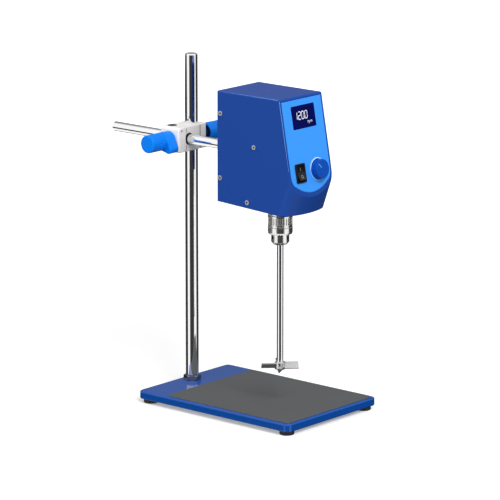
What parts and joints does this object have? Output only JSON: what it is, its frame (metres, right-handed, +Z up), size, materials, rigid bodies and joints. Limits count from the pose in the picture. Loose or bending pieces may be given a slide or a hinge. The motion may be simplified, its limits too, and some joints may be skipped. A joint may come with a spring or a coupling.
{
  "type": "overhead stirrer",
  "caption": "Laboratory overhead stirrer: a drive head with a keyed chuck and bladed shaft on a side arm, clamped to an upright rod that stands in a flat base plate with an anti-slip mat.",
  "frame": {"origin": "centre of the bounding box at the floor, under the feet, midway between the plate's front edge and the arm's rear end", "axes": "+Z up along the upright rod, -Y out of the control panel to the front, +X to the right of someone facing the panel's back (the plate's width)"},
  "size_m": [0.168, 0.336, 0.4265],
  "materials": {
    "plate_blue": "smooth semi-gloss powder coat",
    "mat_grey": "matt, fine grain",
    "black_rubber": "matt",
    "zinc_steel": "bright zinc",
    "polished_steel": "polished",
    "clamp_casting": "fine satin casting",
    "knob_blue": "smooth moulded",
    "housing_blue": "smooth semi-gloss paint",
    "panel_blue": "satin membrane",
    "display_navy": "clear gloss window",
    "black_plastic": "fine grain",
    "gloss_black": "gloss",
    "board_green": "solder mask",
    "knob_mid_blue": "satin moulded",
    "pale_plastic": "satin",
    "white_paint": "paint fill",
    "bare_aluminium": "machined",
    "core_steel": "laminated",
    "copper": "enamelled wire",
    "magnet_dark": "sintered",
    "brass": "turned",
    "satin_steel": "ground"
  },
  "bodies": {
    "base": {"base_plate": "plate_blue", "anti_slip_mat": "mat_grey", "rubber_feet": "black_rubber", "foot_screws": "zinc_steel", "rod_jam_nut": "polished_steel"},
    "upright": {"support_rod": "polished_steel"},
    "clamp": {"boss_head": "clamp_casting"},
    "rod_screw": {"rod_clamp_screw": "zinc_steel"},
    "rod_knob": {"rod_clamp_knob": "knob_blue"},
    "arm_screw": {"arm_clamp_screw": "zinc_steel"},
    "arm_knob": {"arm_clamp_knob": "knob_blue"},
    "arm": {"support_arm": "polished_steel"},
    "head": {"housing_shell": "housing_blue", "control_overlay": "panel_blue", "display_lens": "display_navy", "display_module": "black_plastic", "control_board": "board_green", "board_screws": "zinc_steel", "encoder": "black_plastic", "encoder_nut": "zinc_steel", "knob_ring": "pale_plastic", "switch_body": "black_plastic", "rear_cover": "housing_blue", "arm_socket": "bare_aluminium", "housing_screws": "zinc_steel", "arm_grub_screws": "zinc_steel", "power_inlet": "black_plastic", "fuse_holder": "black_plastic", "rating_plate": "bare_aluminium", "chassis_deck": "zinc_steel", "motor_can": "bare_aluminium", "motor_end_cap": "bare_aluminium", "motor_bracket": "zinc_steel", "motor_screws": "zinc_steel", "deck_screws": "zinc_steel", "motor_stator": "core_steel", "motor_coils": "copper", "bearing_outer_rings": "satin_steel", "speed_sensor": "black_plastic", "board_posts": "brass", "driver_board": "board_green", "capacitors": "gloss_black"},
    "speed_control": {"speed_knob": "knob_mid_blue", "knob_pointer": "white_paint", "encoder_shaft": "satin_steel"},
    "rocker": {"power_rocker": "gloss_black"},
    "drive": {"spindle": "satin_steel", "rotor_core": "core_steel", "rotor_magnets": "magnet_dark", "speed_disc": "black_plastic", "bearing_inner_rings": "satin_steel", "chuck_body": "satin_steel"},
    "sleeve": {"chuck_sleeve": "polished_steel", "chuck_ring_nut": "satin_steel"},
    "jaw_a": {"chuck_jaw_a": "satin_steel"},
    "jaw_b": {"chuck_jaw_b": "satin_steel"},
    "jaw_c": {"chuck_jaw_c": "satin_steel"},
    "shaft": {"stirring_shaft": "polished_steel", "impeller": "satin_steel", "impeller_grub_screw": "zinc_steel"}
  },
  "joints": [
    {"name": "arm_swing", "type": "hinge", "parent": "base", "child": "upright", "pos_m": [0, 0.059, 0.2], "axis": [0, 0, 1], "range_deg": [-180, 180]},
    {"name": "clamp_height", "type": "slide", "parent": "upright", "child": "clamp", "axis": [0, 0, 1], "range_m": [-0.03, 0.08]},
    {"name": "rod_screw_travel", "type": "slide", "parent": "clamp", "child": "rod_screw", "axis": [1, 0, 0], "range_m": [0, 0.003]},
    {"name": "rod_knob_turn", "type": "hinge", "parent": "rod_screw", "child": "rod_knob", "pos_m": [0.045, 0.059, 0.325], "axis": [1, 0, 0], "range_deg": [0, 721]},
    {"name": "arm_screw_travel", "type": "slide", "parent": "clamp", "child": "arm_screw", "axis": [-1, 0, 0], "range_m": [0, 0.003]},
    {"name": "arm_knob_turn", "type": "hinge", "parent": "arm_screw", "child": "arm_knob", "pos_m": [-0.06, 0.059, 0.325], "axis": [-1, 0, 0], "range_deg": [0, 721]},
    {"name": "arm_reach", "type": "slide", "parent": "clamp", "child": "arm", "axis": [0, 1, 0], "range_m": [-0.08, 0.05]},
    {"name": "head_roll", "type": "hinge", "parent": "arm", "child": "head", "pos_m": [-0.02, -0.04, 0.325], "axis": [0, 1, 0], "range_deg": [-90, 90]},
    {"name": "speed_knob_turn", "type": "hinge", "parent": "head", "child": "speed_control", "pos_m": [-0.007, -0.14763, 0.3115], "axis": [0, -0.9842, 0.1772], "range_deg": [-140, 140]},
    {"name": "power_rocker_tilt", "type": "hinge", "parent": "head", "child": "rocker", "pos_m": [-0.0388, -0.1465, 0.31099], "axis": [1, 0, 0], "range_deg": [0, 20]},
    {"name": "spindle_spin", "type": "hinge", "parent": "head", "child": "drive", "pos_m": [-0.02, -0.101, 0.3], "axis": [0, 0, 1], "continuous": true},
    {"name": "chuck_sleeve_turn", "type": "hinge", "parent": "drive", "child": "sleeve", "pos_m": [-0.02, -0.101, 0.24], "axis": [0, 0, -1], "range_deg": [0, 1080]},
    {"name": "jaw_a_slide", "type": "slide", "parent": "drive", "child": "jaw_a", "axis": [-0.0302, 0.171, 0.9848], "range_m": [0, 0.0036]},
    {"name": "jaw_b_slide", "type": "slide", "parent": "drive", "child": "jaw_b", "axis": [-0.133, -0.1116, 0.9848], "range_m": [0, 0.0036]},
    {"name": "jaw_c_slide", "type": "slide", "parent": "drive", "child": "jaw_c", "axis": [0.1632, -0.0594, 0.9848], "range_m": [0, 0.0036]},
    {"name": "shaft_height", "type": "slide", "parent": "drive", "child": "shaft", "axis": [0, 0, 1], "range_m": [-0.012, 0.003]}
  ],
  "couplings": [
    {"joint": "rod_knob_turn", "follows": "rod_screw_travel", "rad_per_m": 4188.8},
    {"joint": "arm_knob_turn", "follows": "arm_screw_travel", "rad_per_m": 4188.8},
    {"joint": "jaw_a_slide", "follows": "chuck_sleeve_turn", "m_per_rad": 0.00019},
    {"joint": "jaw_b_slide", "follows": "chuck_sleeve_turn", "m_per_rad": 0.00019},
    {"joint": "jaw_c_slide", "follows": "chuck_sleeve_turn", "m_per_rad": 0.00019}
  ]
}
